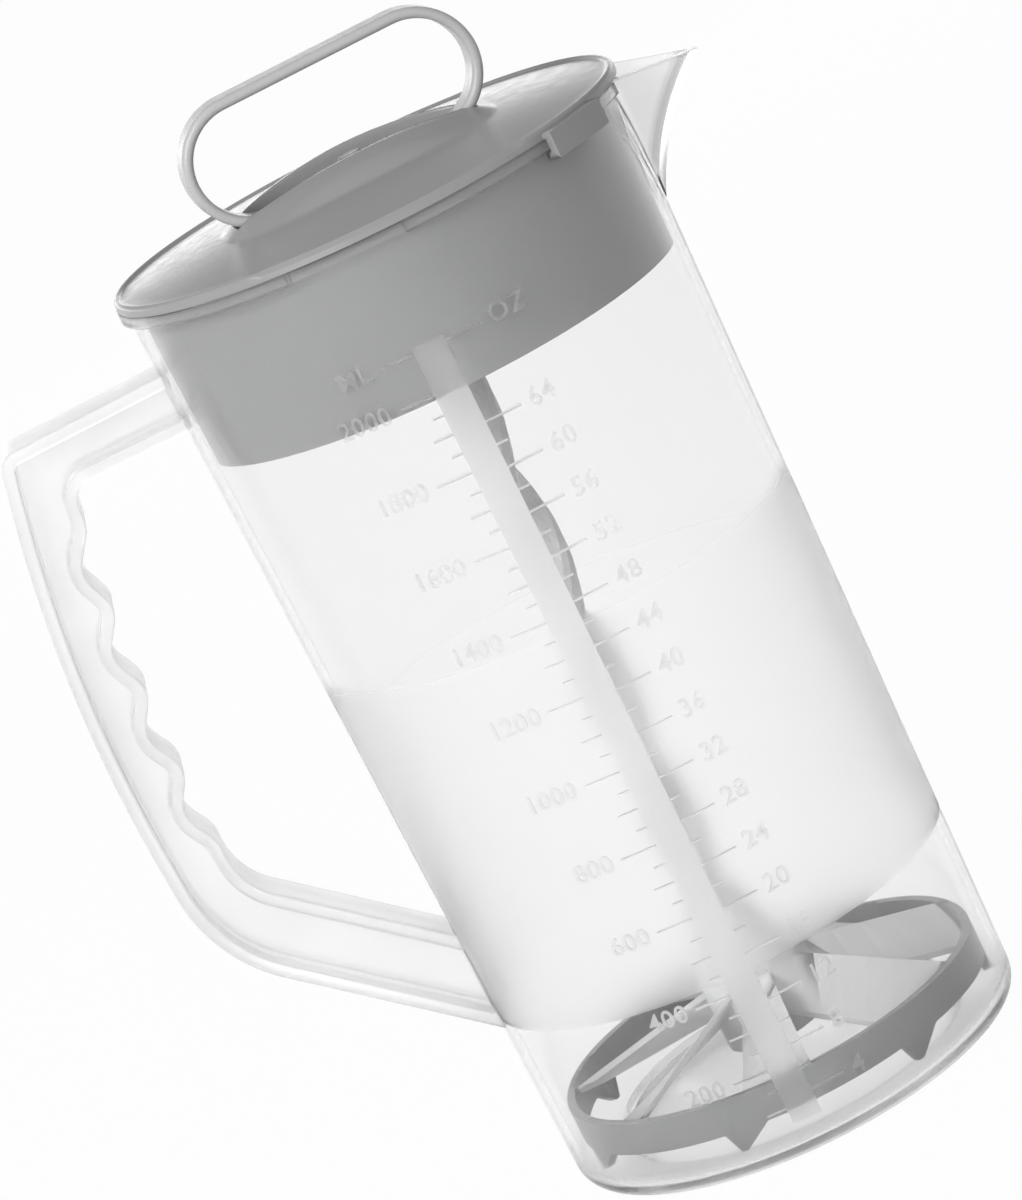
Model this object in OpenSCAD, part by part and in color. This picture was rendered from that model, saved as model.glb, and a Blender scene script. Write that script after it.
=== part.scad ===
// Mixing pitcher: a tapered jug with a V spout and an open side handle, a twist-on lid with a deep
// collar, and a plunger whose twisted shaft spins a bladed wheel as its loop grip is pulled up.
// Millimetres, +Z up. The origin is the centre of the foot, the spout points along +X, the handle
// along -X. Angles are measured from +X, anticlockwise seen from above.

/* [Jug] */
// Height of the jug's rim above the table
jug_height = 239; // [225:0.5:260]
// Outer radius of the wall at the rim
rim_radius = 62.4; // [56:0.1:70]
// How much smaller the wall's radius is at the foot
wall_taper = 5.2; // [3:0.1:7]
// Thickness of the jug's wall
jug_wall = 2.2; // [1.6:0.1:3]
// Thickness of the jug's floor
floor_thickness = 2.4; // [1.6:0.1:3]
// Radius of the rounded edge round the foot
foot_corner = 5; // [3:0.5:6]
// Width of the flat ring round the raised middle of the floor
foot_ring = 14.2; // [13:0.1:20]
// Height of the raised middle of the floor
pushup_height = 7; // [4:0.5:7]

/* [Rim flange] */
// How far the rim flange stands out from the wall
flange_reach = 1.8; // [1.4:0.1:2.4]
// Thickness of the rim flange
flange_thickness = 2.7; // [2:0.1:3.2]
// Angle of the gap where a lid tab drops through the flange
flange_gap = 26; // [23:0.5:32]
// Direction of the middle of the front gap
flange_gap_at = -100; // [-104:0.5:-94]

/* [Spout] */
// How far the spout's tip stands out from the wall at the rim
spout_reach = 20.5; // [16:0.1:23]
// Height of the spout, from its foot on the wall to the rim
spout_depth = 32.3; // [30:0.1:40]
// Half of the spout's width where it leaves the wall
spout_half_width = 16; // [14:0.5:18]
// Half of the width of the spout's blunt tip
spout_tip = 2.2; // [1.4:0.1:3]
// Thickness of the spout's sides and floor
spout_wall = 2; // [1.4:0.1:2.4]
// How far the tip lies below the rim
spout_drop = 4; // [2:0.1:5]

/* [Handle] */
// Width of the handle across its ribs
handle_width = 17; // [13:0.5:22]
// Thickness of the web between the ribs
handle_web = 5; // [3:0.5:8]
// Width of the rib along the handle's edges
handle_rib = 3; // [2:0.1:4]
// How far the handle's top edge lies below the rim
handle_drop = 16.5; // [12:0.5:26]
// Height of the handle's top arm
handle_arm = 14.5; // [12:0.5:18]
// How far the handle's top corner stands out from the rim
handle_reach = 41.1; // [37:0.1:44]
// How far out from the rim the handle's outer edges would meet at its shoulder
handle_shoulder = 53.3; // [50:0.1:56]
// How far out from the rim the handle's outer edges would meet at its belly
handle_bulge = 49.8; // [47:0.1:52]
// Height at which the handle's outer edges would meet at its belly
handle_belly_z = 92; // [89:0.1:95]
// Height at which the lower arm's underside meets the wall
handle_foot = 46.1; // [43:0.1:49]
// Height at which the lower arm's upper side meets the wall
handle_crook = 71.5; // [66:0.5:76]
// Depth of the finger scallops
scallop_depth = 4; // [0.5:0.1:5]

/* [Lid] */
// How far the lid's lip stands out over the wall at the rim
lip_overhang = 1.5; // [1:0.1:2]
// Thickness of the lid's lip
lip_thickness = 2.5; // [2.2:0.1:3]
// Width of the raised bead along the lip
lip_bead = 2; // [1.4:0.1:2.4]
// Height of the dome above the lip's groove
dome_rise = 3.4; // [2.6:0.1:4.4]
// Thickness of the lid's dome and collar
lid_wall = 2; // [1.4:0.1:2.4]
// How far the collar reaches below the rim
collar_depth = 40.4; // [38:0.1:48]
// Gap between the collar and the jug's wall
collar_gap = 0.5; // [0.4:0.1:1]
// Gap between the lip and the rim
seat_gap = 0.1; // [0.05:0.05:0.3]
// Half of the pour window's width
window_half_width = 13; // [8:0.5:13.5]
// Height of the pour window
window_height = 22; // [14:0.5:24]
// Turn of the grip's well from the line of handle and spout
well_turn = 6; // [0:1:10]

/* [Lid tabs] */
// Direction of the middle of the front tab
tab_at = -42.7; // [-45:0.1:-40]
// Angle that a tab spans
tab_angle = 17.5; // [14:0.5:20]
// Thickness of a tab's wall
tab_wall = 2.2; // [1.6:0.1:3]
// Thickness of the foot that hooks under the flange
tab_foot = 1.8; // [1.4:0.1:2.4]
// Gap between a tab and the flange
tab_gap = 0.4; // [0.3:0.1:0.8]

/* [Grip] */
// Length of the loop grip
grip_length = 74.6; // [68:0.2:80]
// Height of the loop grip
grip_height = 31.2; // [29:0.2:36]
// Width of the grip's strap
strap_width = 10.4; // [8:0.2:11]
// Thickness of the grip's strap
strap_thickness = 2.7; // [2.2:0.1:3.2]
// Gap between the grip and its well
grip_gap = 0.5; // [0.4:0.1:1]

/* [Shaft] */
// Width of the twisted bar
bar_width = 11.4; // [10:0.2:13]
// Thickness of the twisted bar
bar_thickness = 5; // [4:0.2:6]
// Rise of the twisted bar in one full turn
bar_pitch = 76; // [70:1:90]
// Gap between the bar and its slot in the lid
slot_gap = 0.9; // [0.8:0.05:1.2]
// Radius of the neck on which the grip swivels
neck_radius = 3; // [2.5:0.1:3.4]
// Gap between the neck and the grip
neck_gap = 0.06; // [0.03:0.01:0.1]

/* [Mixing wheel] */
// Gap between the wheel's ring and the jug's wall
wheel_gap = 2.2; // [1.8:0.1:4]
// Height of the wheel's ring
ring_height = 8.2; // [7:0.2:11]
// Thickness of the wheel's ring
ring_wall = 2.2; // [1.4:0.1:2.6]
// Height of the ring's lower edge above the table
wheel_z = 11; // [10.6:0.1:14]
// Number of blades, each with its tooth under the ring
blade_count = 7; // [5:1:9]
// Rise of a blade across its width at the ring
blade_rise = 6.2; // [4:0.1:6.4]
// Thickness of a blade
blade_thickness = 1.5; // [1.2:0.1:1.6]
// Width of a blade at the ring
blade_width = 20; // [14:0.5:22]
// Radius of the wheel's hub
hub_radius = 12; // [11:0.5:15]
// Height of the hub's cone above the ring's lower edge
hub_height = 37; // [34:0.5:42]
// Height of a tooth below the ring
tooth_height = 5; // [3:0.5:6]

/* [Hidden] */
$fn = 96;

clear_plastic = [0.93, 0.93, 0.92, 0.45];
lid_grey = [0.62, 0.62, 0.62];
wheel_grey = [0.66, 0.66, 0.66];

base_radius = rim_radius - wall_taper;
wall_slope = atan((rim_radius - base_radius) / jug_height);
inner_corner = foot_corner - 1;
pushup_radius = base_radius - foot_ring;
plateau_corner = 2;
plateau_top = floor_thickness + pushup_height;
flange_radius = rim_radius + flange_reach;
flange_z = jug_height - flange_thickness;
join_gap = 0.05;

spout_foot = jug_height - spout_depth;
spout_foot_x = rim_radius - (rim_radius - base_radius) * spout_depth / jug_height;
spout_tip_x = rim_radius + spout_reach;
spout_tip_z = jug_height - spout_drop - 0.8;
spout_root = 12;
spout_back = rim_radius - spout_root;
keel_radius = 62;
keel_chord = [spout_tip_x - spout_foot_x, spout_tip_z - spout_foot];
keel_centre = [spout_foot_x, spout_foot] + keel_chord / 2
    + unit([keel_chord[1], -keel_chord[0]]) * sqrt(keel_radius * keel_radius - keel_chord * keel_chord / 4);
spout_rim = norm([rim_radius, jug_height] - keel_centre) - keel_radius;
spout_flare = (spout_half_width - spout_tip) / spout_rim;
spout_span = spout_rim + spout_root;

handle_top = jug_height - handle_drop;
handle_under = handle_top - handle_arm;
handle_corner = rim_radius + handle_reach;
handle_belly = rim_radius + handle_bulge;
handle_shoulder_z = handle_belly_z + 0.56 * (handle_top - handle_belly_z);
handle_sweep = 0.79;
handle_bend = 41;
handle_corner_radius = 5;
crook_radius = 18;
scallop_count = 4;
scallop_low = [handle_corner - 5.3, handle_belly_z + 24];
scallop_high = [handle_corner - 11.3, handle_under - 9];

lip_radius = rim_radius + lip_overhang;
seat_z = jug_height + seat_gap;
lip_top = seat_z + lip_thickness;
groove_depth = 0.6;
dome_edge = lip_radius - lip_bead - 1;
dome_base = lip_top - groove_depth;
dome_top = dome_base + dome_rise;
dome_sphere = (dome_edge * dome_edge + dome_rise * dome_rise) / (2 * dome_rise);
collar_foot = jug_height - collar_depth;
recess_angle = 62;
recess_at = -88;
recess_bevel = 1.4;

well_floor = dome_top - 2.2;
well_plate = 2.5;
boss_top = dome_top + 5.2;
boss_half_width = 12.8;
boss_side_foot = 28;
boss_end = 35.2;
boss_end_foot = 40.5;
boss_end_drop = 3;
boss_crown = 190;
boss_sink = 0.08;
boss_wall = 2;
well_end = 29;
well_side = 88;

grip_base = well_floor + seat_gap;
strap_radius = grip_height / 2 - strap_thickness / 2;
strap_half_span = grip_length / 2 - grip_height / 2;
grip_hub_radius = 7;
grip_hub_height = 4.4;
neck_head = 1.4;

shaft_top = grip_base - 0.2;
shaft_seat = wheel_z + hub_height;
spigot_radius = 4.4;
spigot_depth = 24;
slot_turn = well_turn + 90;
bar_bevel = 1.3;
bar_slices = 80;

hub_top_radius = 7;
wheel_radius = wall_radius(wheel_z) - jug_wall - wheel_gap;
ring_inner = wheel_radius - ring_wall;
wheel_mid = wheel_z + ring_height / 2;
blade_root_width = 11;
blade_root_rise = 9;
blade_root_lift = 10;
blade_steps = 6;
blade_at = -97.5;
tooth_at = -13.6;
hub_low = 3;
hub_straight = 20;
tab_drop = 1.2;
tooth_width = 11;
tooth_tip = 1.6;
tooth_lean = 3;

function wall_radius(z) = base_radius + (rim_radius - base_radius) * z / jug_height;
function unit(v) = v / norm(v);

// Points of the arc that rounds corner b between a and c with radius r
function rounded(a, b, c, r, steps = 12) =
    let (
        to_a = unit(a - b),
        to_c = unit(c - b),
        half = acos(to_a * to_c) / 2,
        centre = b + unit(to_a + to_c) * r / sin(half),
        first = b + to_a * r / tan(half) - centre,
        turn = (180 - 2 * half) * (first[0] * (to_c[1]) - first[1] * (to_c[0]) > 0 ? 1 : -1)
    )
    [for (i = [0:steps])
        let (t = turn * i / steps)
        centre + [first[0] * cos(t) - first[1] * sin(t), first[0] * sin(t) + first[1] * cos(t)]];

module sector(from, to) {
    rotate([0, 0, from]) rotate_extrude(angle = to - from) children();
}

// Jug

module jug_outline() {
    x = base_radius + foot_corner * tan(wall_slope) - foot_corner / cos(wall_slope);
    polygon([
        [0, 0],
        [x, 0],
        [x + foot_corner * cos(wall_slope), foot_corner * (1 - sin(wall_slope))],
        [rim_radius, jug_height],
        [0, jug_height]
    ]);
    translate([x, foot_corner]) circle(foot_corner);
}

module jug_hollow() {
    low = floor_thickness;
    x = wall_radius(low) - jug_wall + inner_corner * tan(wall_slope) - inner_corner / cos(wall_slope);
    polygon([
        [0, low],
        [x, low],
        [x + inner_corner * cos(wall_slope), low + inner_corner * (1 - sin(wall_slope))],
        [wall_radius(jug_height + 1) - jug_wall, jug_height + 1],
        [0, jug_height + 1]
    ]);
    translate([x, low + inner_corner]) circle(inner_corner);
}

module plateau(radius, height) {
    square([radius, height - plateau_corner]);
    square([radius - plateau_corner, height]);
    translate([radius - plateau_corner, height - plateau_corner]) circle(plateau_corner);
}

module jug_profile() {
    difference() {
        union() {
            difference() {
                jug_outline();
                jug_hollow();
            }
            plateau(pushup_radius, plateau_top);
        }
        translate([0, -1]) plateau(pushup_radius - floor_thickness, pushup_height + 1);
    }
}

module flange_profile() {
    translate([rim_radius - jug_wall / 2, flange_z]) square([flange_reach + jug_wall / 2, flange_thickness]);
}

module rim_flange() {
    spout_side = asin(spout_half_width / rim_radius) + 3;
    half = flange_gap / 2;
    sector(flange_gap_at + half, -spout_side) flange_profile();
    sector(spout_side, flange_gap_at + 180 - half) flange_profile();
    sector(flange_gap_at + 180 + half, flange_gap_at + 360 - half) flange_profile();
}

// Section across the spout, drawn in by inset: a blunt V that opens away from the keel
module spout_section(inset) {
    side = inset * sqrt(1 + spout_flare * spout_flare);
    near = spout_tip + inset * spout_flare - side;
    far = spout_tip + spout_span * spout_flare - side;
    polygon([
        [keel_radius + inset, -near],
        [keel_radius + spout_span, -far],
        [keel_radius + spout_span, far],
        [keel_radius + inset, near]
    ]);
}

// The section swept along the keel's arc, from back to front along X
module spout_beak(inset, back, front) {
    low = spout_foot - spout_root;
    intersection() {
        translate([keel_centre[0], 0, keel_centre[1]]) rotate([90, 0, 0])
            rotate_extrude($fn = 180) spout_section(inset);
        translate([back, -2 * spout_half_width, low])
            cube([front - back, 4 * spout_half_width, jug_height + 3 - low]);
    }
}

// Everything above the spout's falling top edge
module above_spout() {
    fall = atan2(spout_drop, spout_reach);
    translate([rim_radius - 1, 0, jug_height]) rotate([0, fall, 0])
        translate([0, -2 * spout_half_width, 0]) cube([3 * spout_reach, 4 * spout_half_width, spout_depth]);
}

module spout_outside() {
    difference() {
        spout_beak(0, spout_back, spout_tip_x);
        above_spout();
        rotate_extrude() jug_hollow();
        translate([0, 0, jug_height]) cylinder(h = spout_depth, r = 2 * rim_radius);
    }
}

module jug_body() {
    color(clear_plastic)
    difference() {
        union() {
            rotate_extrude() jug_profile();
            spout_outside();
            rim_flange();
        }
        spout_beak(spout_wall, spout_back - 2, spout_tip_x + 2);
    }
}

// Handle

function scallop_edge() =
    let (steps = 12 * scallop_count, low = scallop_low, high = scallop_high)
    [for (i = [0:steps])
        let (s = i / steps)
        [
            low[0] + (high[0] - low[0]) * pow(s, 2.6) + scallop_depth * (0.5 - 0.5 * cos(360 * scallop_count * s)),
            low[1] + (high[1] - low[1]) * s
        ]];

// Side outline of the handle as distance from the axis and height
function handle_outline() =
    let (
        inside = base_radius - 2,
        top = [inside, handle_top],
        corner = [handle_corner, handle_top - 1],
        shoulder = [rim_radius + handle_shoulder, handle_shoulder_z],
        belly = [handle_belly, handle_belly_z],
        half = acos(unit(corner - shoulder) * unit(belly - shoulder)) / 2,
        sweep = handle_sweep * norm(corner - shoulder) * tan(half),
        slope = (handle_belly_z - handle_foot) / (handle_belly - wall_radius(handle_foot)),
        foot = [inside, handle_foot - slope * (wall_radius(handle_foot) - inside)],
        crook = [inside, handle_crook - slope * (wall_radius(handle_crook) - inside)],
        elbow_z = crook[1] + slope * (scallop_low[0] - inside),
        elbow = [scallop_low[0], elbow_z],
        armpit = [scallop_high[0] - 1, handle_under],
        under = [inside, handle_under]
    )
    concat(
        [top],
        rounded(top, corner, shoulder, handle_corner_radius, 8),
        rounded(corner, shoulder, belly, sweep, 16),
        rounded(shoulder, belly, foot, handle_bend, 16),
        [foot, crook],
        rounded(crook, elbow, scallop_low, crook_radius, 10),
        scallop_edge(),
        rounded(scallop_high, armpit, under, handle_corner_radius, 8),
        [under]
    );

module handle_side(inset) {
    if (inset > 0) {
        offset(delta = -inset) polygon(handle_outline());
    } else {
        polygon(handle_outline());
    }
}

module jug_handle() {
    pocket = (handle_width - handle_web) / 2;
    color(clear_plastic)
    difference() {
        rotate([90, 0, 180]) linear_extrude(handle_width, center = true) handle_side(0);
        for (side = [-1, 1]) {
            translate([0, side * (handle_web / 2 + pocket / 2 + 0.5), 0])
                rotate([90, 0, 180]) linear_extrude(pocket + 1, center = true) handle_side(handle_rib);
        }
        rotate_extrude() polygon([
            [0, 0],
            [base_radius + join_gap, 0],
            [rim_radius + join_gap, jug_height],
            [0, jug_height]
        ]);
    }
}

// Lid

// Section of the dome down to its groove, drawn in by inset
module dome_section(inset) {
    intersection() {
        translate([0, dome_top - dome_sphere]) circle(dome_sphere - inset, $fn = 360);
        translate([0, seat_z - dome_rise]) square([dome_edge, 3 * dome_rise + lip_thickness]);
    }
}

module lid_profile() {
    collar_top = wall_radius(seat_z) - jug_wall - collar_gap;
    collar_low = wall_radius(collar_foot) - jug_wall - collar_gap;
    bead = lip_bead / 2;
    difference() {
        dome_section(0);
        dome_section(lid_wall);
        translate([0, seat_z - 2 * dome_rise]) square([dome_edge + 1, 2 * dome_rise]);
    }
    translate([collar_top - lid_wall, seat_z]) square([lip_radius - collar_top + lid_wall, dome_base - seat_z]);
    translate([lip_radius - lip_bead, seat_z]) square([lip_bead, lip_thickness - bead]);
    translate([lip_radius - bead, lip_top - bead]) circle(bead);
    polygon([
        [collar_low - lid_wall, collar_foot],
        [collar_low, collar_foot],
        [collar_top, seat_z],
        [collar_top, dome_base],
        [collar_top - lid_wall, dome_base],
        [collar_top - lid_wall, seat_z]
    ]);
}

// Section cut from the lip's upper edge along a recess
module recess_profile() {
    polygon([
        [lip_radius - recess_bevel - 1, lip_top + 1],
        [lip_radius + 1, lip_top - recess_bevel - 1],
        [lip_radius + 1, lip_top + 1]
    ]);
}

module tab_profile() {
    inner = flange_radius + tab_gap;
    outer = inner + tab_wall;
    foot_top = flange_z - tab_gap;
    polygon([
        [wall_radius(flange_z) + tab_gap, foot_top - tab_foot],
        [outer, foot_top - tab_foot],
        [outer, lip_top - tab_drop],
        [lip_radius - lip_bead, lip_top - tab_drop],
        [lip_radius - lip_bead, seat_z],
        [inner, seat_z],
        [inner, foot_top],
        [wall_radius(flange_z) + tab_gap, foot_top]
    ]);
}

// Half section of the boss over the dome: from its edge at half and height, a hollow curve runs out
// to a foot just under the dome; heights are measured from the middle of the dome's sphere
module boss_section(half, height, foot, low) {
    lean = asin(foot / dome_sphere);
    out = [sin(lean), cos(lean)];
    edge = [half, height];
    under = dome_sphere - boss_sink;
    reach = norm(under * out - edge);
    fillet = reach * reach / (2 * (out * edge - under));
    difference() {
        translate([0, low]) square([foot, height + 2 - low]);
        translate((under + fillet) * out) circle(fillet, $fn = 180);
    }
}

module boss() {
    level = dome_top - dome_sphere;
    top = boss_top - level;
    intersection() {
        translate([0, 0, level]) rotate([90, 0, 0]) rotate_extrude($fn = 720) mirror([1, -1]) {
            boss_section(boss_half_width, top, boss_side_foot, top - 20);
            mirror([1, 0]) boss_section(boss_half_width, top, boss_side_foot, top - 20);
        }
        translate([0, 0, level]) rotate_extrude()
            boss_section(boss_end, top - boss_end_drop, boss_end_foot, dome_base - level);
        translate([0, 0, boss_top - boss_crown]) rotate([90, 0, 0])
            cylinder(h = 4 * boss_side_foot, r = boss_crown, center = true, $fn = 360);
    }
}

// Plan of the well, spread by grow
module well_plan(grow) {
    offset = well_side - boss_half_width;
    intersection() {
        circle(well_end + grow);
        translate([0, offset]) circle(well_side - boss_wall + grow, $fn = 360);
        translate([0, -offset]) circle(well_side - boss_wall + grow, $fn = 360);
    }
}

// Racetrack of the grip as a flat shape, spread by grow
module racetrack(grow) {
    outer = grip_height / 2 + grow;
    for (side = [-1, 1]) {
        translate([side * strap_half_span, 0]) circle(outer);
    }
    square([2 * strap_half_span, 2 * outer], center = true);
}

module grip_pocket() {
    translate([0, 0, grip_base + grip_height / 2])
        rotate([90, 0, 0]) linear_extrude(strap_width + 2 * grip_gap, center = true) racetrack(grip_gap);
}

module bar_section(grow) {
    w = bar_width / 2 + grow;
    t = bar_thickness / 2 + grow;
    polygon([
        [w, bar_bevel - t],
        [w, t - bar_bevel],
        [w - bar_bevel, t],
        [bar_bevel - w, t],
        [-w, t - bar_bevel],
        [-w, bar_bevel - t],
        [bar_bevel - w, -t],
        [w - bar_bevel, -t]
    ]);
}

module well() {
    translate([0, 0, well_floor]) linear_extrude(boss_top - well_floor + 1) well_plan(0);
}

module lid() {
    color(lid_grey)
    difference() {
        union() {
            difference() {
                rotate_extrude() lid_profile();
                for (turn = [0, 180]) {
                    sector(turn + recess_at - recess_angle / 2, turn + recess_at + recess_angle / 2)
                        recess_profile();
                }
            }
            for (turn = [0, 180]) {
                sector(turn + tab_at - tab_angle / 2, turn + tab_at + tab_angle / 2) tab_profile();
            }
            rotate([0, 0, well_turn]) {
                boss();
                translate([0, 0, well_floor - well_plate])
                    linear_extrude(dome_base + 1 - well_floor + well_plate) well_plan(boss_wall);
            }
        }
        rotate([0, 0, well_turn]) {
            well();
            grip_pocket();
        }
        translate([0, 0, well_floor - well_plate - 1]) rotate([0, 0, slot_turn])
            linear_extrude(well_plate + 2) bar_section(slot_gap);
        pour_window();
    }
}

module pour_window() {
    corner = 4;
    low = collar_foot + 11;
    translate([rim_radius, 0, low + window_height / 2]) rotate([90, 0, 90])
        linear_extrude(3 * lid_wall + 4 * jug_wall, center = true) {
            square([2 * (window_half_width - corner), window_height], center = true);
            square([2 * window_half_width, window_height - 2 * corner], center = true);
            for (x = [-1, 1], y = [-1, 1]) {
                translate([x * (window_half_width - corner), y * (window_height / 2 - corner)]) circle(corner);
            }
        }
}

// Plunger

module strap_section() {
    bead = strap_thickness / 2;
    square([strap_thickness, strap_width - strap_thickness], center = true);
    for (side = [-1, 1]) {
        translate([0, side * (strap_width / 2 - bead)]) circle(bead);
    }
}

module plunger_grip() {
    color(lid_grey)
    rotate([0, 0, well_turn])
    difference() {
        union() {
            translate([0, 0, grip_base + grip_height / 2]) rotate([90, 0, 0]) {
                for (side = [0, 180]) {
                    rotate([0, 0, side]) {
                        translate([strap_half_span, 0, 0]) rotate([0, 0, -90])
                            rotate_extrude(angle = 180) translate([strap_radius, 0]) strap_section();
                        translate([0, strap_radius, 0]) rotate([0, 90, 0])
                            linear_extrude(2 * strap_half_span, center = true) rotate([0, 0, 90]) strap_section();
                    }
                }
            }
            translate([0, 0, grip_base]) cylinder(h = grip_hub_height, r = grip_hub_radius);
        }
        translate([0, 0, grip_base - 1]) cylinder(h = grip_hub_height + 2, r = neck_radius + neck_gap);
    }
}

module plunger_shaft() {
    bar_height = shaft_top - shaft_seat;
    turn = 360 * bar_height / bar_pitch;
    head_z = grip_base + grip_hub_height + 0.2;
    color(wheel_grey) {
        translate([0, 0, shaft_seat]) rotate([0, 0, slot_turn - turn])
            linear_extrude(bar_height, twist = -turn, slices = bar_slices, $fn = 16) bar_section(0);
        translate([0, 0, shaft_top - 1]) cylinder(h = head_z - shaft_top + 1, r = neck_radius);
        translate([0, 0, head_z]) cylinder(h = neck_head, r1 = neck_radius + 1.2, r2 = neck_radius - 0.4);
        translate([0, 0, shaft_seat]) cylinder(h = 2, r = hub_top_radius);
        translate([0, 0, shaft_seat - spigot_depth]) cylinder(h = spigot_depth + 1, r = spigot_radius);
    }
}

// Four corners of a blade's section at a part of the way from hub to ring
function blade_section(part) =
    let (
        x = hub_radius - 3 + (wheel_radius - ring_wall / 2 - 0.5 - hub_radius + 3) * part,
        y = (blade_root_width + (blade_width - blade_root_width) * part) / 2,
        middle = wheel_mid + blade_root_lift * (1 - part),
        rise = (blade_root_rise + (blade_rise - blade_root_rise) * part) / 2,
        t = blade_thickness / 2
    )
    [
        [x, -y, middle - rise - t],
        [x, y, middle + rise - t],
        [x, y, middle + rise + t],
        [x, -y, middle - rise + t]
    ];

// Blade that climbs and steepens from the ring to the hub
module blade() {
    points = [for (i = [0:blade_steps]) each blade_section(i / blade_steps)];
    last = 4 * blade_steps;
    sides = [for (i = [0:blade_steps - 1], k = [0:3])
        let (a = 4 * i + k, b = 4 * i + (k + 1) % 4)
        each [[a, a + 4, b + 4], [a, b + 4, b]]];
    ends = [[0, 1, 2], [0, 2, 3], [last, last + 2, last + 1], [last, last + 3, last + 2]];
    polyhedron(points, concat(sides, ends));
}

// Shark-fin tooth whose sides run on up into the ring
module tooth() {
    half = tooth_tip / 2;
    into = ring_height / 2;
    steep = (tooth_lean - half) / tooth_height;
    gentle = (tooth_width - tooth_lean - half) / tooth_height;
    rotate([90, 0, 90]) linear_extrude(wheel_radius + 5) polygon([
        [-half - steep * (tooth_height + into), into],
        [-half, -tooth_height],
        [half, -tooth_height],
        [half + gentle * (tooth_height + into), into]
    ]);
}

module mixing_wheel() {
    step = 360 / blade_count;
    color(wheel_grey)
    difference() {
        union() {
            translate([0, 0, wheel_z]) rotate_extrude()
                translate([ring_inner, 0]) square([ring_wall, ring_height]);
            translate([0, 0, wheel_z + hub_low]) cylinder(h = hub_straight - hub_low, r = hub_radius);
            translate([0, 0, wheel_z + hub_straight])
                cylinder(h = hub_height - hub_straight, r1 = hub_radius, r2 = hub_top_radius);
            for (i = [0:blade_count - 1]) rotate([0, 0, blade_at + i * step]) blade();
            intersection() {
                for (i = [0:blade_count - 1]) {
                    rotate([0, 0, blade_at + tooth_at + i * step]) translate([0, 0, wheel_z]) tooth();
                }
                translate([0, 0, wheel_z - tooth_height]) rotate_extrude()
                    translate([ring_inner, 0]) square([ring_wall, tooth_height + ring_height / 2]);
            }
        }
        translate([0, 0, shaft_seat - spigot_depth - 0.2])
            cylinder(h = spigot_depth + 1, r = spigot_radius + join_gap);
    }
}

jug_body();
jug_handle();
lid();
plunger_grip();
plunger_shaft();
mixing_wheel();
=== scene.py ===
import math

import bmesh
import bpy
from mathutils import Matrix, Vector


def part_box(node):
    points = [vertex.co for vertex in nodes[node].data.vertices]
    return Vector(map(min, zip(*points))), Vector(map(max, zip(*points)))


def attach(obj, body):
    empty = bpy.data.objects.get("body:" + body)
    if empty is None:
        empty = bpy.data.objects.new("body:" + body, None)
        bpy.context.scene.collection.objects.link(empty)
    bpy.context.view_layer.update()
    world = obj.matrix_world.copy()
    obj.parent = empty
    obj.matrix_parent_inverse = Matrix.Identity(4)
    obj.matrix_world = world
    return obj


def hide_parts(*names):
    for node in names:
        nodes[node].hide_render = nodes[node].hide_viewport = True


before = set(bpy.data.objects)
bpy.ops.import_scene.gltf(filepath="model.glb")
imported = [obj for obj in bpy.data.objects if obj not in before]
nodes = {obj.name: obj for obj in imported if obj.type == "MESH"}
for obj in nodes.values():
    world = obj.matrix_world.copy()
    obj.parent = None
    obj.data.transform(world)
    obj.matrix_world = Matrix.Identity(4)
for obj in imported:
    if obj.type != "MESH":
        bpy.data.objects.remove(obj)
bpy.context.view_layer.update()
MM = 0.001

# Lengths are in millimetres, and MM turns them into metres. Those of floor and lamps are in metres.

# Jug: its height, its outer radius at the rim, and how much smaller that is at the foot
JUG_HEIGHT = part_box("jug_body")[1].z / MM
RIM_RADIUS = 62.4
WALL_TAPER = 5.2

# Frosted strip between the two volume scales: azimuths of its edges in degrees, and heights of its ends
STRIP_LEFT = -6.6
STRIP_RIGHT = 0.6
STRIP_LOW = 9.0
STRIP_TOP = 211.5


def wall_radius(z):
    """Outer radius of the jug's wall at height z."""
    return RIM_RADIUS - WALL_TAPER * (1 - z / JUG_HEIGHT)


def on_wall(azimuth, z, out):
    """Point at a height on the wall, out proud of it; azimuth 0 faces -Y and grows towards +X."""
    a = math.radians(azimuth)
    r = wall_radius(z) + out
    return Vector((r * math.sin(a), -r * math.cos(a), z)) * MM


# Materials

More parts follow.
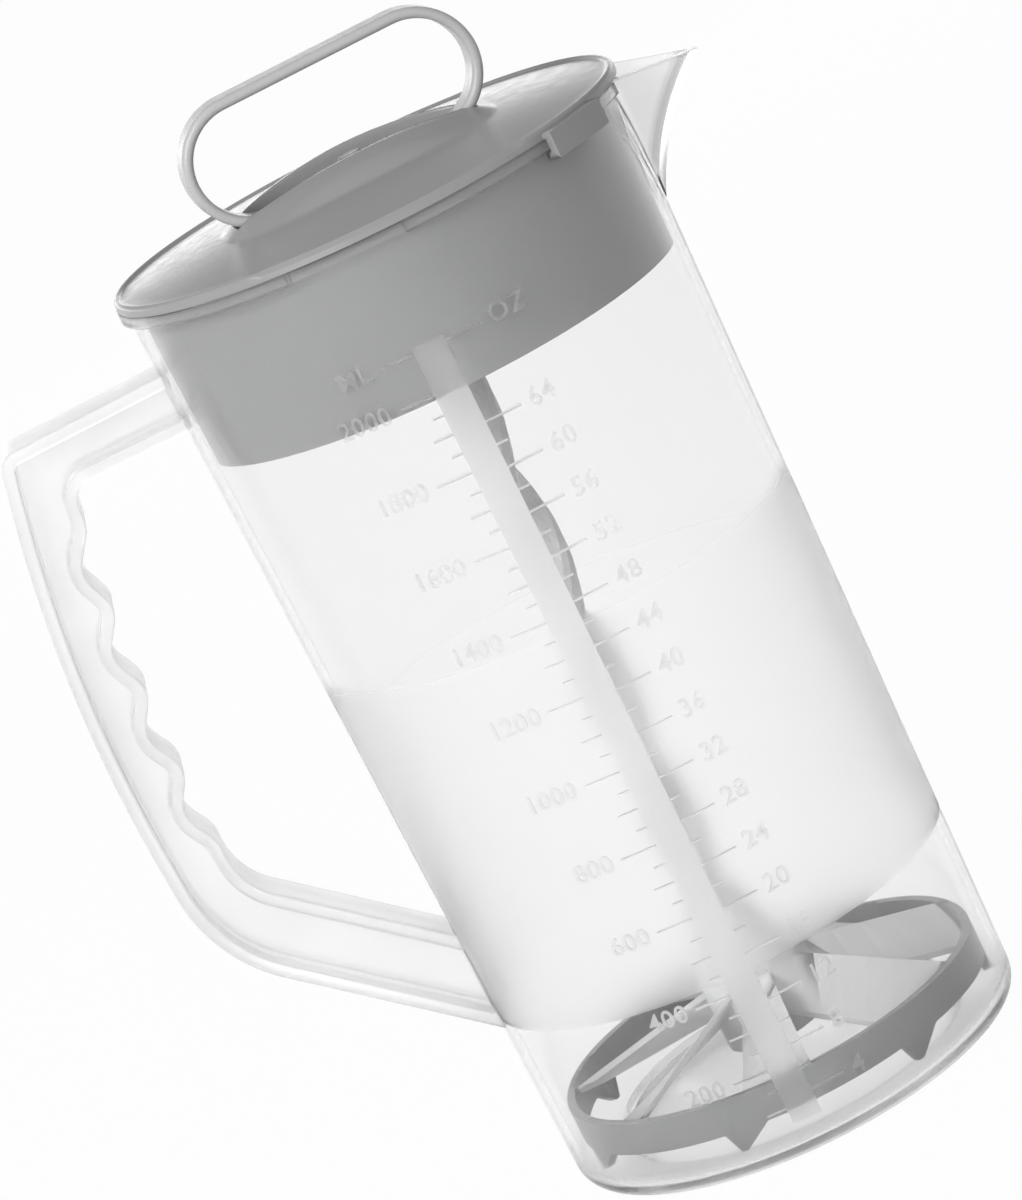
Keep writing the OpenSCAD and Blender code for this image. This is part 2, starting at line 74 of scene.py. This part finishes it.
class Nodes:
    """Short way to write the node tree of a material or a world."""

    def __init__(self, owner):
        self.owner = owner
        self.tree = owner.node_tree
        self.tree.nodes.clear()
        kind = "World" if isinstance(owner, bpy.types.World) else "Material"
        self.output = self.add("ShaderNodeOutput" + kind)

    def add(self, kind, inputs=None, **settings):
        node = self.tree.nodes.new(kind)
        for key, value in settings.items():
            setattr(node, key, value)
        for key, value in (inputs or {}).items():
            self.put(value, node.inputs[key])
        return node

    def put(self, value, socket):
        """Links a socket to another node's output, or sets it to a plain value."""
        if isinstance(value, bpy.types.NodeSocket):
            self.tree.links.new(value, socket)
        else:
            socket.default_value = value

    def math(self, operation, *values):
        """Result of an operation on one value, or on a row of values taken from left to right."""
        node = self.add("ShaderNodeMath", operation=operation)
        for socket, value in zip(node.inputs, values[:2]):
            self.put(value, socket)
        result = node.outputs[0]
        return self.math(operation, result, *values[2:]) if values[2:] else result

    def ramp(self, value, low, high, to_low, to_high):
        """Smooth change from to_low to to_high as value goes from low to high."""
        node = self.add("ShaderNodeMapRange", {
            "Value": value, "From Min": low, "From Max": high, "To Min": to_low, "To Max": to_high},
            interpolation_type="SMOOTHSTEP")
        return node.outputs["Result"]

    def inside(self, value, low, high, edge):
        """1 where value lies between low and high, with soft edges."""
        rise = self.ramp(value, low - edge, low + edge, 0.0, 1.0)
        drop = self.ramp(value, high - edge, high + edge, 1.0, 0.0)
        return self.math("MULTIPLY", rise, drop)

    def place(self):
        return self.add("ShaderNodeTexCoord").outputs["Object"]

    def split(self):
        """Sockets X, Y and Z of the place."""
        return self.add("ShaderNodeSeparateXYZ", {"Vector": self.place()}).outputs

    def noise(self, scale, detail=2.0):
        return self.add("ShaderNodeTexNoise", {
            "Vector": self.place(), "Scale": scale, "Detail": detail}).outputs["Fac"]

    def vector_math(self, operation, *vectors):
        node = self.add("ShaderNodeVectorMath", dict(enumerate(vectors)), operation=operation)
        return node.outputs["Value"]

    def grey(self, tone):
        return self.add("ShaderNodeCombineColor", {"Red": tone, "Green": tone, "Blue": tone}).outputs[0]

    def finish(self, shader):
        self.tree.links.new(shader, self.output.inputs["Surface"])
        return self.owner


def new_material(name):
    material = bpy.data.materials.new(name)
    material.use_nodes = True
    return Nodes(material)


def grey_plastic(name, grey, roughness, gloss, painted_light_within=None, top=None):
    """Moulded grey plastic with faint cloudiness and waviness; a (radius, grey) pair paints what lies inside
    a radius in that lighter grey, as painted light, and top = (height, grey) paints what lies above a height
    in that darker grey, as painted shade."""
    n = new_material(name)
    shade = grey
    if painted_light_within:
        radius, light = painted_light_within
        place = n.split()
        flat = n.add("ShaderNodeCombineXYZ", {"X": place["X"], "Y": place["Y"]}).outputs[0]
        away = n.vector_math("LENGTH", flat)
        shade = n.ramp(away, (radius - 1) * MM, radius * MM, light, grey)
    elif top:
        height, shade_grey = top
        shade = n.ramp(n.split()["Z"], (height - 1) * MM, height * MM, grey, shade_grey)
    cloud = n.ramp(n.noise(18), 0.3, 0.7, 0.97, 1.03)
    rough = n.ramp(n.noise(300), 0.3, 0.7, roughness - 0.03, roughness + 0.03)
    bump = n.add("ShaderNodeBump", {
        "Strength": 0.02, "Distance": 0.3 * MM, "Height": n.noise(160, detail=1.0)})
    shader = n.add("ShaderNodeBsdfPrincipled", {
        "Base Color": n.grey(n.math("MULTIPLY", cloud, shade)), "Roughness": rough,
        "Normal": bump.outputs[0], "IOR": 1.49, "Specular IOR Level": gloss})
    return n.finish(shader.outputs[0])


def painted_edge_shade(n, width, edge_shade):
    """Painted shade: 1 on flat places, falling to a darker tone at the edges of the moulding, standing in
    for how clear plastic looks darker there.
    """
    bevel = n.add("ShaderNodeBevel", {"Radius": width * MM}, samples=4)
    flat = n.add("ShaderNodeNewGeometry").outputs["Normal"]
    along = n.vector_math("DOT_PRODUCT", bevel.outputs[0], flat)
    return n.ramp(along, 0.85, 0.985, edge_shade, 1.0)


# Heights of the milky band's foot, of where it starts to fade in front and behind, and of its top
MILKY_LOW = 47.4
FADE_FRONT = 135.0
FADE_BACK = 108.0
MILKY_TOP = 144.0

# Share of the light that each zone of the jug lets through, and its roughness
CLEAR_PASSED, CLEAR_ROUGH = 0.965, 0.03
MILKY_PASSED, MILKY_ROUGH = 0.94, 0.38
STRIP_PASSED, STRIP_ROUGH = 0.94, 0.8
THICK_PASSED, THICK_ROUGH = 0.9, 0.22
FOOT_ROUGH = 0.24

# Tones of the jug: the wall and its foot, clear zones beside the milky one, and painted shade at the edges
# and in the keel's two lines
WALL_TONE = 0.985
FOOT_TONE = 0.87
CLEAR_TONE = 0.982
EDGE_WIDTH = 1.3
EDGE_SHADE_TONE = 0.5
SPOUT_EDGE_SHADE_TONE = 0.72
KEEL_SHADE_TONE = 0.7
KEEL_SHADE_LINE = (1.4, 3.0)


def jug_plastic():
    """Translucent wall: clear, with a milky band, a frosted strip, and a milky spout and rim flange, with
    painted shade along its edges and in two lines along the spout's keel.
    """
    n = new_material("jug_plastic")
    x, y, z = n.split()
    fade = n.ramp(y, -20 * MM, 30 * MM, FADE_FRONT * MM, FADE_BACK * MM)
    band = n.math(
        "MULTIPLY",
        n.ramp(z, (MILKY_LOW - 0.5) * MM, (MILKY_LOW + 0.5) * MM, 0.0, 1.0),
        n.ramp(z, fade, MILKY_TOP * MM, 1.0, 0.0))
    azimuth = n.math("ARCTAN2", x, n.math("MULTIPLY", y, -1.0))
    strip = n.math(
        "MULTIPLY",
        n.inside(azimuth, math.radians(STRIP_LEFT), math.radians(STRIP_RIGHT), 0.003),
        n.inside(z, STRIP_LOW * MM, STRIP_TOP * MM, 0.3 * MM))
    spout = n.ramp(x, (RIM_RADIUS - 2) * MM, (RIM_RADIUS + 1) * MM, 0.0, 1.0)
    flange = n.ramp(z, (JUG_HEIGHT - 2.9) * MM, (JUG_HEIGHT - 2.6) * MM, 0.0, 1.0)
    thick = n.math("MAXIMUM", spout, flange)
    low, high = KEEL_SHADE_LINE
    # Two lines along the spout's keel are painted darker: painted shade
    keel_shade = n.math("MULTIPLY", spout, n.inside(n.math("ABSOLUTE", y), low * MM, high * MM, 0.4 * MM))
    passed = n.math(
        "MINIMUM",
        n.ramp(band, 0.0, 1.0, CLEAR_PASSED, MILKY_PASSED),
        n.ramp(strip, 0.0, 1.0, 1.0, STRIP_PASSED),
        n.ramp(thick, 0.0, 1.0, 1.0, THICK_PASSED))
    rough = n.math(
        "MAXIMUM",
        n.ramp(band, 0.0, 1.0, CLEAR_ROUGH, MILKY_ROUGH),
        n.math("MULTIPLY", strip, STRIP_ROUGH),
        n.math("MULTIPLY", thick, THICK_ROUGH),
        n.ramp(z, 6 * MM, 18 * MM, FOOT_ROUGH, 0.0))
    # Edges are painted darker, less so on the spout: painted shade
    edge = n.math(
        "MAXIMUM", painted_edge_shade(n, EDGE_WIDTH, EDGE_SHADE_TONE), n.math("MULTIPLY", spout, SPOUT_EDGE_SHADE_TONE))
    tone = n.math(
        "MULTIPLY",
        n.ramp(z, 2 * MM, 18 * MM, FOOT_TONE, WALL_TONE),
        edge,
        n.ramp(keel_shade, 0.0, 1.0, 1.0, KEEL_SHADE_TONE),
        n.ramp(band, 0.0, 1.0, CLEAR_TONE, 1.0))
    shader = n.add("ShaderNodeBsdfPrincipled", {
        "Base Color": n.grey(tone), "Roughness": rough, "IOR": 1.18, "Transmission Weight": passed})
    return n.finish(shader.outputs[0])


def milky_plastic(name, passed, roughness, edge, edge_shade):
    """Cloudy plastic of the thick moulded parts, with faint flow streaks and painted shade along its edges.
    """
    n = new_material(name)
    cloud = n.noise(40, detail=3.0)
    tone = n.math("MULTIPLY", n.ramp(cloud, 0.3, 0.7, 0.96, 0.99), painted_edge_shade(n, edge, edge_shade))
    share = n.ramp(cloud, 0.3, 0.7, passed - 0.03, passed + 0.03)
    bevel = n.add("ShaderNodeBevel", {"Radius": edge * MM}, samples=6)
    shader = n.add("ShaderNodeBsdfPrincipled", {
        "Base Color": n.grey(tone), "Roughness": roughness, "IOR": 1.3, "Transmission Weight": share,
        "Normal": bevel.outputs[0]})
    return n.finish(shader.outputs[0])


def dress(node, material):
    mesh = nodes[node].data
    mesh.materials.clear()
    mesh.materials.append(material)


# Above this height the shaft's head is painted dark, as painted shade of the lid's well
SHAFT_HEAD = 238

dress("jug_body", jug_plastic())
dress("jug_handle", milky_plastic("handle_plastic", passed=0.82, roughness=0.35, edge=1.1, edge_shade=0.8))
dress("plunger_grip", grey_plastic("grip_plastic", grey=0.5, roughness=0.3, gloss=0.4))
# The shaft's head is painted dark above SHAFT_HEAD: painted shade
dress("plunger_shaft", grey_plastic(
    "shaft_plastic", grey=0.54, roughness=0.28, gloss=0.4, top=(SHAFT_HEAD, 0.24)))


# Lid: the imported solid's lip, tabs and collar under a smooth top, with a pillow-shaped boss round its well

LIP_RADIUS = 63.9
LIP_BEAD = 1.0
SEAT = JUG_HEIGHT + 0.1
LIP_TOP = SEAT + 2.5
DOME_EDGE = 60.9
DOME_BASE = LIP_TOP - 0.6
DOME_RISE = 3.4
DOME_TOP = DOME_BASE + DOME_RISE
DOME_SPHERE = (DOME_EDGE ** 2 + DOME_RISE ** 2) / (2 * DOME_RISE)
DOME_WALL = 3.7
GROOVE = 0.5

# Two recesses along the lip's bead: direction of the first and half of its angle in degrees, and the cut,
# as the sum of reach and height that the bead keeps to
RECESS_AT = -88
RECESS_HALF = 31
RECESS_LINE = LIP_RADIUS + LIP_TOP - 1.4

# Direction in degrees, from the bead's middle, in which its round starts out of the groove
BEAD_FROM = 156

# Well: its turn from the line of handle and spout, its floor, its reach to the ends, the radius and half
# width of its curved sides, and its rim's round
WELL_TURN = math.radians(6)
WELL_FLOOR = DOME_TOP - 2.2
WELL_END = 29.0
WELL_SIDE = 86.0
WELL_HALF = 10.8
WELL_RIM = 0.6

# Boss: its crown, how far that drops at CROWN_AT along it, its reach to the ends and sides, and the shares
# of its side that the shoulder and the hollow take
BOSS_TOP = DOME_TOP + 5.0
BOSS_DROP = 3.2
CROWN_AT = 28
BOSS_END = 35.5
BOSS_SIDE = 25.5
SHOULDER = 0.84
HOLLOW = 0.16

# Resting grip
GRIP_BASE = WELL_FLOOR + 0.1
GRIP_HEIGHT = 31.2
GRIP_LENGTH = 74.6
STRAP_WIDTH = 10.4
GRIP_GAP = 0.5

# Counts of steps round the lid, down the boss, along the dome, over the bead and round the grip's ends
TURNS = 288
BOSS_STEPS = 24
DOME_STEPS = 12
BEAD_STEPS = 12
GRIP_STEPS = 96

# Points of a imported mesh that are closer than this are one
WELD = 0.002


def smooth_step(s):
    return s * s * (3 - 2 * s)


def dome_height(u, v):
    return DOME_TOP - DOME_SPHERE + math.sqrt(DOME_SPHERE ** 2 - u * u - v * v)


def well_reach(s):
    """Distance from the axis to the well's wall, in the direction whose sine is s."""
    away = (WELL_SIDE - WELL_HALF) * abs(s)
    side = math.sqrt(away * away + WELL_SIDE ** 2 - (WELL_SIDE - WELL_HALF) ** 2) - away
    return (WELL_END ** -14 + side ** -14) ** (-1 / 14)


def boss_reach(c, s):
    """Distance from the axis to the boss's foot, in the direction (c, s)."""
    return ((abs(c) / BOSS_END) ** 3 + (abs(s) / BOSS_SIDE) ** 3) ** (-1 / 3)


def fall(s):
    """Share of the boss's height left at share s of its side: a round shoulder and a short hollow foot."""
    if s < SHOULDER:
        return 1 - s * s / SHOULDER
    return (1 - s) ** 2 / HOLLOW


def crown(u):
    return BOSS_TOP - BOSS_DROP * (u / CROWN_AT) ** 2


def boss_rows(c, s):
    """Reach and height of the points up the well's wall, over its rim and down the boss to its foot."""
    well, foot = well_reach(s), boss_reach(c, s)
    top = crown(well * c)
    rows = [(well, WELL_FLOOR - 0.3), (well, top - 2.0)]
    for step in range(4):
        a = math.radians(30 * step)
        rows.append((well + WELL_RIM * (1 - math.cos(a)), top - WELL_RIM * (1 - math.sin(a))))
    for step in range(1, BOSS_STEPS + 1):
        reach = well + WELL_RIM + (foot - well - WELL_RIM) * step / BOSS_STEPS
        dome = dome_height(reach * c, reach * s)
        rows.append((reach, dome + (crown(reach * c) - dome) * fall(step / BOSS_STEPS)))
    return rows


def lip_rows(turn):
    """Reach and height of the points from the dome's groove over the bead, which is cut away along the
    recesses, and back under the dome."""
    off = min(abs((turn - at + 180) % 360 - 180) for at in (RECESS_AT, RECESS_AT + 180))
    cut = smooth_step(min(max((RECESS_HALF + 1 - off) / 2, 0), 1))
    rows = [(DOME_EDGE + GROOVE, DOME_BASE)]
    for step in range(BEAD_STEPS + 1):
        a = math.radians(BEAD_FROM - BEAD_FROM / BEAD_STEPS * step)
        reach = LIP_RADIUS - LIP_BEAD + LIP_BEAD * math.cos(a)
        z = LIP_TOP - LIP_BEAD + LIP_BEAD * math.sin(a)
        over = max(reach + z - RECESS_LINE, 0) / 2 * cut
        rows.append((reach - over, z - over))
    hidden = [(LIP_RADIUS, SEAT + 0.05), (LIP_RADIUS - 3, SEAT + 0.4), (45, DOME_TOP - DOME_WALL)]
    return rows + hidden


def lid_top():
    """Closed ring between the well and the lip's edge."""
    bm = bmesh.new()
    loops = []
    for i in range(TURNS):
        turn = 360 * i / TURNS
        a = math.radians(turn)
        rows = boss_rows(math.cos(a - WELL_TURN), math.sin(a - WELL_TURN))
        foot = rows[-1][0]
        for step in range(1, DOME_STEPS + 1):
            reach = foot + (DOME_EDGE - foot) * step / DOME_STEPS
            rows.append((reach, dome_height(reach, 0)))
        rows += lip_rows(turn)
        loops.append([bm.verts.new(Vector((r * math.cos(a), r * math.sin(a), z)) * MM) for r, z in rows])
    for i, loop in enumerate(loops):
        after = loops[(i + 1) % TURNS]
        for j in range(len(loop)):
            k = (j + 1) % len(loop)
            bm.faces.new((loop[j], loop[k], after[k], after[j]))
    bmesh.ops.recalc_face_normals(bm, faces=bm.faces)
    return bm


def grip_pocket():
    """Room that the resting grip takes, cut from the boss's ends."""
    bm = bmesh.new()
    radius = GRIP_HEIGHT / 2 + GRIP_GAP
    half = GRIP_LENGTH / 2 - GRIP_HEIGHT / 2
    width = STRAP_WIDTH / 2 + GRIP_GAP
    cos_turn, sin_turn = math.cos(WELL_TURN), math.sin(WELL_TURN)
    right = []
    for step in range(GRIP_STEPS + 1):
        a = math.radians(-90 + 180 * step / GRIP_STEPS)
        right.append((half + radius * math.cos(a), GRIP_BASE + GRIP_HEIGHT / 2 + radius * math.sin(a)))
    outline = right + [(-u, z) for u, z in reversed(right)]
    front, back = [
        [bm.verts.new(Vector((u * cos_turn - v * sin_turn, u * sin_turn + v * cos_turn, z)) * MM)
         for u, z in outline]
        for v in (-width, width)]
    bm.faces.new(front)
    bm.faces.new(back[::-1])
    for i in range(len(front)):
        j = (i + 1) % len(front)
        bm.faces.new((front[j], front[i], back[i], back[j]))
    bmesh.ops.recalc_face_normals(bm, faces=bm.faces)
    return bm


def mesh_object(name, bm):
    mesh = bpy.data.meshes.new(name)
    bm.to_mesh(mesh)
    bm.free()
    made = bpy.data.objects.new(name, mesh)
    bpy.context.collection.objects.link(made)
    return made


def cut_mesh(bm, cutter_bm):
    """Mesh of one closed form with another taken out of it."""
    solid = mesh_object("solid", bm)
    cutter = mesh_object("cutter", cutter_bm)
    change = solid.modifiers.new("cut", "BOOLEAN")
    change.operation = "DIFFERENCE"
    change.solver = "EXACT"
    change.object = cutter
    bpy.context.view_layer.update()
    mesh = bpy.data.meshes.new_from_object(solid.evaluated_get(bpy.context.evaluated_depsgraph_get()))
    bpy.data.objects.remove(solid)
    bpy.data.objects.remove(cutter)
    return mesh


def under_top(centre):
    """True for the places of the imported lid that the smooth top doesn't stand for."""
    reach = math.hypot(centre.x, centre.y) / MM
    z = centre.z / MM
    if reach > LIP_RADIUS - 0.06:
        return z < SEAT + 0.3 or reach > LIP_RADIUS + 0.1
    if reach > DOME_EDGE - 0.3:
        return z < SEAT + 0.3
    return z < dome_height(reach, 0) - 0.5


def welded(node):
    """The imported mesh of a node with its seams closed."""
    bm = bmesh.new()
    bm.from_mesh(nodes[node].data)
    bmesh.ops.remove_doubles(bm, verts=bm.verts, dist=WELD * MM)
    return bm


def make_lid():
    bm = welded("lid")
    gone = [face for face in bm.faces if not under_top(face.calc_center_median())]
    bmesh.ops.delete(bm, geom=gone, context="FACES")
    bm.from_mesh(cut_mesh(lid_top(), grip_pocket()))
    return bm


# Volume scales

MARK_RISE = 0.25
MARK_SUNK = 0.05
LINE = 0.62
LONG_TICK = 8.8
MIDDLE_TICK = 4.9
SHORT_TICK = 2.7
DIGIT_HEIGHT = 4.4
TEXT_GAP = 2.0
HEADER_Z = 210.6

# Share of the built-in font's size that a digit's height takes
DIGIT_SHARE = 0.7

# Volumes between ticks and between figures, in millilitres and in ounces
OUNCE = 29.57
TICK_ML = 50
TICK_OZ = 2
FIGURE_ML = 200
FIGURE_OZ = 4

# Height that the marks count from, and their rise for a millilitre below and above BEND millilitres
MARK_ZERO = 2.9
BEND = 600
RISE_BELOW = 0.1026
RISE_ABOVE = 0.0969


def level(millilitres):
    """Height of a volume's mark; the raised floor takes up more height low down."""
    low = min(millilitres, BEND)
    return MARK_ZERO + low * RISE_BELOW + (millilitres - low) * RISE_ABOVE


def wrap(bm, points, faces, azimuth, z):
    """Adds points (along, up, out) on the wall from a place, and faces over them."""
    made = []
    for along, up, out in points:
        height = z + up
        turn = math.degrees(along / wall_radius(height))
        made.append(bm.verts.new(on_wall(azimuth + turn, height, out)))
    for face in faces:
        bm.faces.new([made[i] for i in face])


def bar(bm, azimuth, z, a, b):
    """Raised line with bevelled top, from a to b along the wall."""
    slope = LINE * 0.3
    low, high = -LINE / 2, LINE / 2
    ring = [(a, low), (b, low), (b, high), (a, high)]
    top = [
        (a + slope, low + slope), (b - slope, low + slope),
        (b - slope, high - slope), (a + slope, high - slope)]
    points = [(p, q, -MARK_SUNK) for p, q in ring] + [(p, q, MARK_RISE) for p, q in top]
    faces = [(3, 2, 1, 0), (4, 5, 6, 7)] + [(i, (i + 1) % 4, 4 + (i + 1) % 4, 4 + i) for i in range(4)]
    wrap(bm, points, faces, azimuth, z)


def tick_length(step, steps, halves):
    """Long at every steps-th tick and, with halves, of middle length half way between."""
    if step % steps == 0:
        return LONG_TICK
    return MIDDLE_TICK if halves and step % (steps // 2) == 0 else SHORT_TICK


def make_ticks():
    bm = bmesh.new()
    for step in range(2, 41):
        bar(bm, STRIP_LEFT, level(TICK_ML * step), -tick_length(step, 4, True), 0)
    for step in range(2, 33):
        bar(bm, STRIP_RIGHT, level(TICK_OZ * OUNCE * step), 0, tick_length(step, 2, False))
    bar(bm, STRIP_LEFT, HEADER_Z, -LONG_TICK, 0)
    bar(bm, STRIP_RIGHT, HEADER_Z, 0, LONG_TICK)
    return bm


def write(bm, words, azimuth, z, side):
    """Adds raised figures beside the long ticks to the right (side 1) or left (side -1) of a place."""
    data = bpy.data.curves.new("figures", "FONT")
    data.body = words
    data.size = DIGIT_HEIGHT / DIGIT_SHARE
    data.align_x = "LEFT" if side > 0 else "RIGHT"
    data.align_y = "CENTER"
    data.space_character = 1.08
    data.offset = 0.05
    data.resolution_u = 3
    data.extrude = (MARK_RISE + MARK_SUNK) / 2
    text = bpy.data.objects.new("figures", data)
    bpy.context.collection.objects.link(text)
    bpy.context.view_layer.update()
    mesh = text.to_mesh()
    along = side * (LONG_TICK + TEXT_GAP)
    middle = (MARK_RISE - MARK_SUNK) / 2
    points = [(v.co.x + along, v.co.y, v.co.z + middle) for v in mesh.vertices]
    faces = [tuple(polygon.vertices) for polygon in mesh.polygons]
    wrap(bm, points, faces, azimuth, z)
    text.to_mesh_clear()
    bpy.data.objects.remove(text)
    bpy.data.curves.remove(data)


def make_figures():
    bm = bmesh.new()
    for step in range(1, 11):
        write(bm, str(FIGURE_ML * step), STRIP_LEFT, level(FIGURE_ML * step), -1)
    for step in range(1, 17):
        write(bm, str(FIGURE_OZ * step), STRIP_RIGHT, level(FIGURE_OZ * OUNCE * step), 1)
    write(bm, "ML", STRIP_LEFT, HEADER_Z, -1)
    write(bm, "OZ", STRIP_RIGHT, HEADER_Z, 1)
    return bm


# Pieces

# Inner radius of the wheel's ring; the blades inside it are painted lighter than the ring, as painted light
WHEEL_RING = 50.5

# Angles in degrees over which an edge of a softly shaded piece stays sharp
WHEEL_SHARP = 32
LID_SHARP = 38


def add_piece(name, bm, material, body):
    piece = mesh_object(name, bm)
    piece.data.materials.append(material)
    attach(piece, body)
    return piece


def softened(bm):
    """Gives all faces soft shading and the piece's one material."""
    for face in bm.faces:
        face.smooth = True
        face.material_index = 0
    return bm


# The wheel's blades are painted a lighter grey than its ring: painted light where light from above falls on
# them
wheel_plastic = grey_plastic(
    "wheel_plastic", grey=0.31, roughness=0.36, gloss=0.3, painted_light_within=(WHEEL_RING, 0.74))
wheel = add_piece("wheel_shell", softened(welded("mixing_wheel")), wheel_plastic, "agitator")
wheel.data.set_sharp_from_angle(angle=math.radians(WHEEL_SHARP))
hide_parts("mixing_wheel")
lid_plastic = grey_plastic("lid_plastic", grey=0.32, roughness=0.24, gloss=0.42)
lid = add_piece("lid_shell", softened(make_lid()), lid_plastic, "lid")
lid.data.set_sharp_from_angle(angle=math.radians(LID_SHARP))
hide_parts("lid")
mark_plastic = milky_plastic("mark_plastic", passed=0.95, roughness=0.42, edge=0.1, edge_shade=0.98)
add_piece("scale_ticks", make_ticks(), mark_plastic, "jug")
add_piece("scale_figures", make_figures(), mark_plastic, "jug")


# Stage

# Strength at which the stage is seen as white, how much of that the floor shows against its shadows, and
# how much is left of it for rays that a dull surface has scattered
WHITE = 1.02
FLOOR_WHITE = 0.95
SCATTERED = 0.4

# Height of the floor, just below the foot, and the place in the middle of the jug that the lamps face
FLOOR_Z = -0.0005
LAMP_AIM = Vector((0, 0, 0.15))


def sight(n, *kinds):
    """1 for rays of these kinds, and less for those that a dull surface has scattered before."""
    path = n.add("ShaderNodeLightPath").outputs
    seen = n.math("MAXIMUM", *(path[kind] for kind in kinds))
    return n.math("MULTIPLY", seen, n.ramp(path["Diffuse Depth"], 0.0, 1.0, 1.0, SCATTERED))


def floor_material():
    """Dull paper, mixed with plain white for rays that see it directly, by gloss or through clear walls."""
    n = new_material("floor_paper")
    lit = n.add("ShaderNodeBsdfDiffuse", {"Color": (0.5, 0.5, 0.5, 1)})
    white = n.add("ShaderNodeEmission", {"Color": (1, 1, 1, 1), "Strength": WHITE})
    seen = sight(n, "Is Camera Ray", "Is Transmission Ray", "Is Glossy Ray")
    mix = n.add("ShaderNodeMixShader", {
        "Fac": n.math("MULTIPLY", seen, FLOOR_WHITE), 1: lit.outputs[0], 2: white.outputs[0]})
    return n.finish(mix.outputs[0])


def make_floor(half):
    """Square floor that reaches half metres to each side."""
    bm = bmesh.new()
    bmesh.ops.create_grid(bm, x_segments=1, y_segments=1, size=half)
    floor = mesh_object("floor", bm)
    floor.location.z = FLOOR_Z
    floor.data.materials.append(floor_material())


def make_world(horizon, zenith):
    """Light that is bright along the horizon and dimmer overhead, white where it is seen directly."""
    world = bpy.data.worlds.new("studio")
    world.use_nodes = True
    n = Nodes(world)
    across = n.add("ShaderNodeTexCoord").outputs["Generated"]
    height = n.add("ShaderNodeSeparateXYZ", {"Vector": across}).outputs["Z"]
    strength = n.ramp(height, 0.05, 0.28, horizon, zenith)
    seen = sight(n, "Is Camera Ray", "Is Transmission Ray")
    light = n.add("ShaderNodeBackground", {"Color": (1, 1, 1, 1), "Strength": strength})
    white = n.add("ShaderNodeBackground", {"Color": (1, 1, 1, 1), "Strength": WHITE})
    mix = n.add("ShaderNodeMixShader", {"Fac": seen, 1: light.outputs[0], 2: white.outputs[0]})
    n.finish(mix.outputs[0])
    bpy.context.scene.world = world


def soft_box(name, place, size, watts):
    """Area lamp at a place, with a width and a height as its size."""
    data = bpy.data.lights.new(name, "AREA")
    data.shape = "RECTANGLE"
    data.size, data.size_y = size
    data.energy = watts
    lamp = bpy.data.objects.new(name, data)
    lamp.location = place
    lamp.rotation_euler = (LAMP_AIM - Vector(place)).to_track_quat("-Z", "Y").to_euler()
    bpy.context.collection.objects.link(lamp)


make_floor(half=4.0)
make_world(horizon=0.9, zenith=0.36)
soft_box("key", place=(-0.9, -1.3, 1.02), size=(0.9, 0.9), watts=25)
soft_box("backdrop", place=(-0.35, 1.5, 0.36), size=(3.0, 0.28), watts=4)


# Camera

CAMERA_PLACE = Vector((-11.81, -1324.53, 443.13)) * MM
CAMERA_AIM = Vector((-11.81, 0.0, 136.5)) * MM
CAMERA_ROLL = math.radians(-26.164)
CAMERA_LENS = 173.74


def make_camera():
    data = bpy.data.cameras.new("camera")
    data.lens = CAMERA_LENS
    data.sensor_width = 36
    camera = bpy.data.objects.new("camera", data)
    forward = (CAMERA_AIM - CAMERA_PLACE).normalized()
    flat = forward.cross(Vector((0, 0, 1))).normalized()
    upright = flat.cross(forward)
    across = flat * math.cos(CAMERA_ROLL) + upright * math.sin(CAMERA_ROLL)
    up = upright * math.cos(CAMERA_ROLL) - flat * math.sin(CAMERA_ROLL)
    turn = Matrix((across, up, -forward)).transposed().to_4x4()
    camera.matrix_world = Matrix.Translation(CAMERA_PLACE) @ turn
    bpy.context.collection.objects.link(camera)
    bpy.context.scene.camera = camera


make_camera()
bpy.context.scene.view_settings.view_transform = "Standard"
